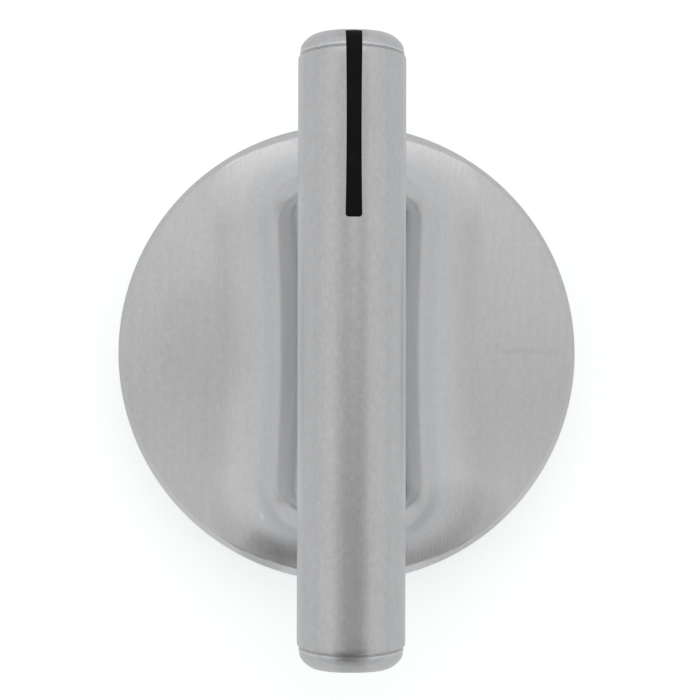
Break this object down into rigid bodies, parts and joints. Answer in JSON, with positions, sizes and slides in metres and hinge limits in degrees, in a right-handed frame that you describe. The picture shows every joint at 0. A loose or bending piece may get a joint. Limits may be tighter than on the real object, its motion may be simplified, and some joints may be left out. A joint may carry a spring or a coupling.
{
  "type": "oven fan knob",
  "caption": "Round satin metal oven knob: a flared disk carries a long cylindrical grip bar with a black pointer slot, and a flatted socket behind pushes on to the control shaft.",
  "frame": {"origin": "on the shaft axis, in the plane of the skirt's rear rim", "axes": "+Z out of the appliance's panel towards the user, +Y along the grip bar towards the pointer, +X to the right seen from the front"},
  "size_m": [0.045, 0.06, 0.0231],
  "materials": {
    "satin_metal": "fine linear satin brushing along the bar",
    "pointer_black": "matt",
    "bush_plastic": "moulded matt",
    "spring_steel": "rolled strip"
  },
  "bodies": {
    "root": {"knob_body": "satin_metal", "pointer_inlay": "pointer_black", "shaft_bush": "bush_plastic", "shaft_spring": "spring_steel"}
  },
  "joints": []
}
